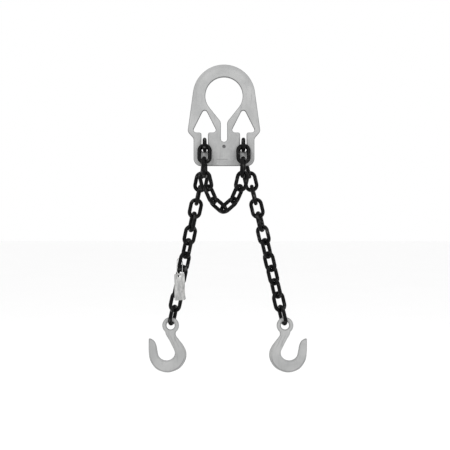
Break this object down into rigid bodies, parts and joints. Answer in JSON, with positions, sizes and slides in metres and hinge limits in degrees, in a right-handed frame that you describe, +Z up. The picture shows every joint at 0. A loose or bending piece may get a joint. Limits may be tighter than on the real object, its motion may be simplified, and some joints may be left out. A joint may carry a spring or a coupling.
{
  "type": "two-leg chain sling",
  "caption": "Adjustable two-leg chain sling: a plate with a crane-hook eye and chain slots, a slack loop in front, two hanging legs that end in open hooks, and a tag on a wire.",
  "frame": {"origin": "centre of the round crane-hook eye in the plate, in the middle of the plate's thickness", "axes": "+Z up as the sling hangs, -Y to the front, where the slack loop hangs, +X to the right seen from the front"},
  "size_m": [0.4121, 0.0902, 0.7957],
  "materials": {
    "plate_paint": "light grey paint over forged steel, slightly glossy",
    "chain": "black lacquer over alloy steel, satin",
    "hook_paint": "light grey paint over forged steel, slightly glossy",
    "tag": "dull pale metal, slightly bent",
    "tag_wire": "thin bright wire"
  },
  "bodies": {
    "plate": {"adjuster_plate": "plate_paint"},
    "left_slot_link": {"slot_link_left": "chain"},
    "left_link_1": {"left_leg_link_1": "chain"},
    "left_link_2": {"left_leg_link_2": "chain"},
    "left_link_3": {"left_leg_link_3": "chain"},
    "left_link_4": {"left_leg_link_4": "chain"},
    "left_link_5": {"left_leg_link_5": "chain"},
    "left_link_6": {"left_leg_link_6": "chain"},
    "left_link_7": {"left_leg_link_7": "chain"},
    "left_link_8": {"left_leg_link_8": "chain"},
    "left_link_9": {"left_leg_link_9": "chain"},
    "left_link_10": {"left_leg_link_10": "chain"},
    "left_link_11": {"left_leg_link_11": "chain"},
    "left_link_12": {"left_leg_link_12": "chain"},
    "left_link_13": {"left_leg_link_13": "chain"},
    "left_hook": {"left_hook": "hook_paint"},
    "right_slot_link": {"slot_link_right": "chain"},
    "right_link_1": {"right_leg_link_1": "chain"},
    "right_link_2": {"right_leg_link_2": "chain"},
    "right_link_3": {"right_leg_link_3": "chain"},
    "right_link_4": {"right_leg_link_4": "chain"},
    "right_link_5": {"right_leg_link_5": "chain"},
    "right_link_6": {"right_leg_link_6": "chain"},
    "right_link_7": {"right_leg_link_7": "chain"},
    "right_link_8": {"right_leg_link_8": "chain"},
    "right_link_9": {"right_leg_link_9": "chain"},
    "right_link_10": {"right_leg_link_10": "chain"},
    "right_link_11": {"right_leg_link_11": "chain"},
    "right_link_12": {"right_leg_link_12": "chain"},
    "right_link_13": {"right_leg_link_13": "chain"},
    "right_hook": {"right_hook": "hook_paint"},
    "loop_ends": {"loop_link_1": "chain", "loop_link_10": "chain"},
    "loop_link_2": {"loop_link_2": "chain"},
    "loop_link_3": {"loop_link_3": "chain"},
    "loop_link_4": {"loop_link_4": "chain"},
    "loop_link_5": {"loop_link_5": "chain"},
    "loop_link_6": {"loop_link_6": "chain"},
    "loop_link_7": {"loop_link_7": "chain"},
    "loop_link_8": {"loop_link_8": "chain"},
    "loop_link_9": {"loop_link_9": "chain"},
    "tag_wire": {"tag_wire": "tag_wire"},
    "id_tag": {"id_tag": "tag"}
  },
  "joints": [
    {"name": "left_slot_link_roll", "type": "hinge", "parent": "plate", "child": "left_slot_link", "pos_m": [-0.0496, 0, -0.1398], "axis": [0, 1, 0], "range_deg": [-4, 4]},
    {"name": "left_link_1_hinge", "type": "hinge", "parent": "left_slot_link", "child": "left_link_1", "pos_m": [-0.04575, 0.01775, -0.13623], "axis": [0.032, 0.9593, 0.2805], "range_deg": [-5, 6]},
    {"name": "left_link_2_hinge", "type": "hinge", "parent": "left_link_1", "child": "left_link_2", "pos_m": [-0.05368, 0.02436, -0.17238], "axis": [0.9936, 0, -0.1132], "range_deg": [-1.5, 24]},
    {"name": "left_link_3_hinge", "type": "hinge", "parent": "left_link_2", "child": "left_link_3", "pos_m": [-0.05767, 0.0252, -0.20741], "axis": [0, -1, 0], "range_deg": [-24, 24]},
    {"name": "left_link_4_hinge", "type": "hinge", "parent": "left_link_3", "child": "left_link_4", "pos_m": [-0.06469, 0.0252, -0.24207], "axis": [-0.9712, -0.1219, 0.2047], "range_deg": [-24, 24]},
    {"name": "left_link_5_hinge", "type": "hinge", "parent": "left_link_4", "child": "left_link_5", "pos_m": [-0.07198, 0.0252, -0.27668], "axis": [-0.2367, 0.9703, 0.0499], "range_deg": [-24, 24]},
    {"name": "left_link_6_hinge", "type": "hinge", "parent": "left_link_5", "child": "left_link_6", "pos_m": [-0.07928, 0.0252, -0.3113], "axis": [0.9135, 0.3584, -0.1925], "range_deg": [-24, 24]},
    {"name": "left_link_7_hinge", "type": "hinge", "parent": "left_link_6", "child": "left_link_7", "pos_m": [-0.08657, 0.0252, -0.34591], "axis": [0.4594, -0.8829, -0.0968], "range_deg": [-24, 24]},
    {"name": "left_link_8_hinge", "type": "hinge", "parent": "left_link_7", "child": "left_link_8", "pos_m": [-0.09387, 0.0252, -0.38053], "axis": [-0.8015, -0.5736, 0.1689], "range_deg": [-24, 24]},
    {"name": "left_link_9_hinge", "type": "hinge", "parent": "left_link_8", "child": "left_link_9", "pos_m": [-0.10116, 0.0252, -0.41514], "axis": [-0.6548, 0.7431, 0.138], "range_deg": [-24, 24]},
    {"name": "left_link_10_hinge", "type": "hinge", "parent": "left_link_9", "child": "left_link_10", "pos_m": [-0.10846, 0.0252, -0.44976], "axis": [0.642, 0.7547, -0.1353], "range_deg": [-12, 24]},
    {"name": "left_link_11_hinge", "type": "hinge", "parent": "left_link_10", "child": "left_link_11", "pos_m": [-0.11575, 0.0252, -0.48437], "axis": [0.8112, -0.5592, -0.171], "range_deg": [-12, 24]},
    {"name": "left_link_12_hinge", "type": "hinge", "parent": "left_link_11", "child": "left_link_12", "pos_m": [-0.12305, 0.0252, -0.51899], "axis": [-0.4442, -0.891, 0.0936], "range_deg": [-12, 24]},
    {"name": "left_link_13_hinge", "type": "hinge", "parent": "left_link_12", "child": "left_link_13", "pos_m": [-0.13034, 0.0252, -0.5536], "axis": [-0.9195, 0.342, 0.1938], "range_deg": [-24, 24]},
    {"name": "left_hook_hinge", "type": "hinge", "parent": "left_link_13", "child": "left_hook", "pos_m": [-0.13763, 0.0252, -0.58822], "axis": [0, -1, 0], "range_deg": [-24, 24]},
    {"name": "right_slot_link_roll", "type": "hinge", "parent": "plate", "child": "right_slot_link", "pos_m": [0.0496, 0, -0.1398], "axis": [0, 1, 0], "range_deg": [-4, 4]},
    {"name": "right_link_1_hinge", "type": "hinge", "parent": "right_slot_link", "child": "right_link_1", "pos_m": [0.04279, 0.01663, -0.13549], "axis": [-0.0654, 0.9593, 0.2747], "range_deg": [-5, 3]},
    {"name": "right_link_2_hinge", "type": "hinge", "parent": "right_link_1", "child": "right_link_2", "pos_m": [0.05795, 0.02436, -0.17163], "axis": [0.9728, 0, 0.2317], "range_deg": [-1.5, 24]},
    {"name": "right_link_3_hinge", "type": "hinge", "parent": "right_link_2", "child": "right_link_3", "pos_m": [0.0662, 0.02529, -0.20623], "axis": [0, -1, 0], "range_deg": [-24, 24]},
    {"name": "right_link_4_hinge", "type": "hinge", "parent": "right_link_3", "child": "right_link_4", "pos_m": [0.07447, 0.02529, -0.24096], "axis": [-0.9655, 0.1219, -0.23], "range_deg": [-24, 24]},
    {"name": "right_link_5_hinge", "type": "hinge", "parent": "right_link_4", "child": "right_link_5", "pos_m": [0.08274, 0.02529, -0.27568], "axis": [0.2353, 0.9703, 0.0561], "range_deg": [-24, 24]},
    {"name": "right_link_6_hinge", "type": "hinge", "parent": "right_link_5", "child": "right_link_6", "pos_m": [0.09102, 0.02529, -0.31041], "axis": [0.9082, -0.3584, 0.2164], "range_deg": [-24, 24]},
    {"name": "right_link_7_hinge", "type": "hinge", "parent": "right_link_6", "child": "right_link_7", "pos_m": [0.09929, 0.02529, -0.34514], "axis": [-0.4567, -0.8829, -0.1088], "range_deg": [-21, 21]},
    {"name": "right_link_8_hinge", "type": "hinge", "parent": "right_link_7", "child": "right_link_8", "pos_m": [0.10756, 0.02529, -0.37987], "axis": [-0.7969, 0.5736, -0.1898], "range_deg": [-24, 24]},
    {"name": "right_link_9_hinge", "type": "hinge", "parent": "right_link_8", "child": "right_link_9", "pos_m": [0.11584, 0.02529, -0.4146], "axis": [0.6509, 0.7431, 0.1551], "range_deg": [-24, 24]},
    {"name": "right_link_10_hinge", "type": "hinge", "parent": "right_link_9", "child": "right_link_10", "pos_m": [0.12411, 0.02529, -0.44932], "axis": [0.6382, -0.7547, 0.152], "range_deg": [-24, 24]},
    {"name": "right_link_11_hinge", "type": "hinge", "parent": "right_link_10", "child": "right_link_11", "pos_m": [0.13239, 0.02529, -0.48405], "axis": [-0.8065, -0.5592, -0.1921], "range_deg": [-24, 24]},
    {"name": "right_link_12_hinge", "type": "hinge", "parent": "right_link_11", "child": "right_link_12", "pos_m": [0.14066, 0.02529, -0.51878], "axis": [-0.4416, 0.891, -0.1052], "range_deg": [-24, 24]},
    {"name": "right_link_13_hinge", "type": "hinge", "parent": "right_link_12", "child": "right_link_13", "pos_m": [0.14893, 0.02529, -0.55351], "axis": [0.9141, 0.342, 0.2178], "range_deg": [-24, 24]},
    {"name": "right_hook_hinge", "type": "hinge", "parent": "right_link_13", "child": "right_hook", "pos_m": [0.15721, 0.02529, -0.58824], "axis": [0, -1, 0], "range_deg": [-24, 24]},
    {"name": "loop_swing", "type": "hinge", "parent": "plate", "child": "loop_ends", "pos_m": [0, -0.0114, -0.12858], "axis": [-1, 0, 0], "range_deg": [0, 40]},
    {"name": "loop_link_2_roll", "type": "hinge", "parent": "loop_ends", "child": "loop_link_2", "pos_m": [-0.04955, -0.0252, -0.18503], "axis": [-0.0349, -0.0035, 0.9994], "range_deg": [-3, 3]},
    {"name": "loop_link_3_roll", "type": "hinge", "parent": "loop_ends", "child": "loop_link_3", "pos_m": [-0.04629, -0.02377, -0.2202], "axis": [0.225, 0.0035, -0.9744], "range_deg": [-3, 3]},
    {"name": "loop_link_4_roll", "type": "hinge", "parent": "loop_ends", "child": "loop_link_4", "pos_m": [-0.03426, -0.02474, -0.25346], "axis": [-0.4067, -0.0035, 0.9135], "range_deg": [-3, 3]},
    {"name": "loop_link_5_roll", "type": "hinge", "parent": "loop_ends", "child": "loop_link_5", "pos_m": [-0.01406, -0.01987, -0.28125], "axis": [0.7507, 0.0035, -0.6607], "range_deg": [-3, 3]},
    {"name": "loop_link_6_roll", "type": "hinge", "parent": "loop_ends", "child": "loop_link_6", "pos_m": [0.01243, -0.03057, -0.28123], "axis": [0.7494, 0.0035, 0.6621], "range_deg": [-3, 3]},
    {"name": "loop_link_7_roll", "type": "hinge", "parent": "loop_ends", "child": "loop_link_7", "pos_m": [0.03261, -0.02572, -0.25341], "axis": [-0.4067, -0.0035, -0.9135], "range_deg": [-3, 3]},
    {"name": "loop_link_8_roll", "type": "hinge", "parent": "loop_ends", "child": "loop_link_8", "pos_m": [0.04464, -0.02668, -0.22015], "axis": [0.225, 0.0035, 0.9744], "range_deg": [-3, 3]},
    {"name": "loop_link_9_roll", "type": "hinge", "parent": "loop_ends", "child": "loop_link_9", "pos_m": [0.0479, -0.02525, -0.18498], "axis": [-0.0349, -0.0035, -0.9994], "range_deg": [-3, 3]},
    {"name": "tag_wire_turn", "type": "hinge", "parent": "left_link_9", "child": "tag_wire", "pos_m": [-0.11354, 0.01617, -0.42523], "axis": [-0.2062, 0, -0.9785], "range_deg": [-1, 12]},
    {"name": "tag_swing", "type": "hinge", "parent": "tag_wire", "child": "id_tag", "pos_m": [-0.11443, -0.00398, -0.45951], "axis": [-0.7501, -0.5494, 0.3681], "range_deg": [-3, 30]}
  ]
}
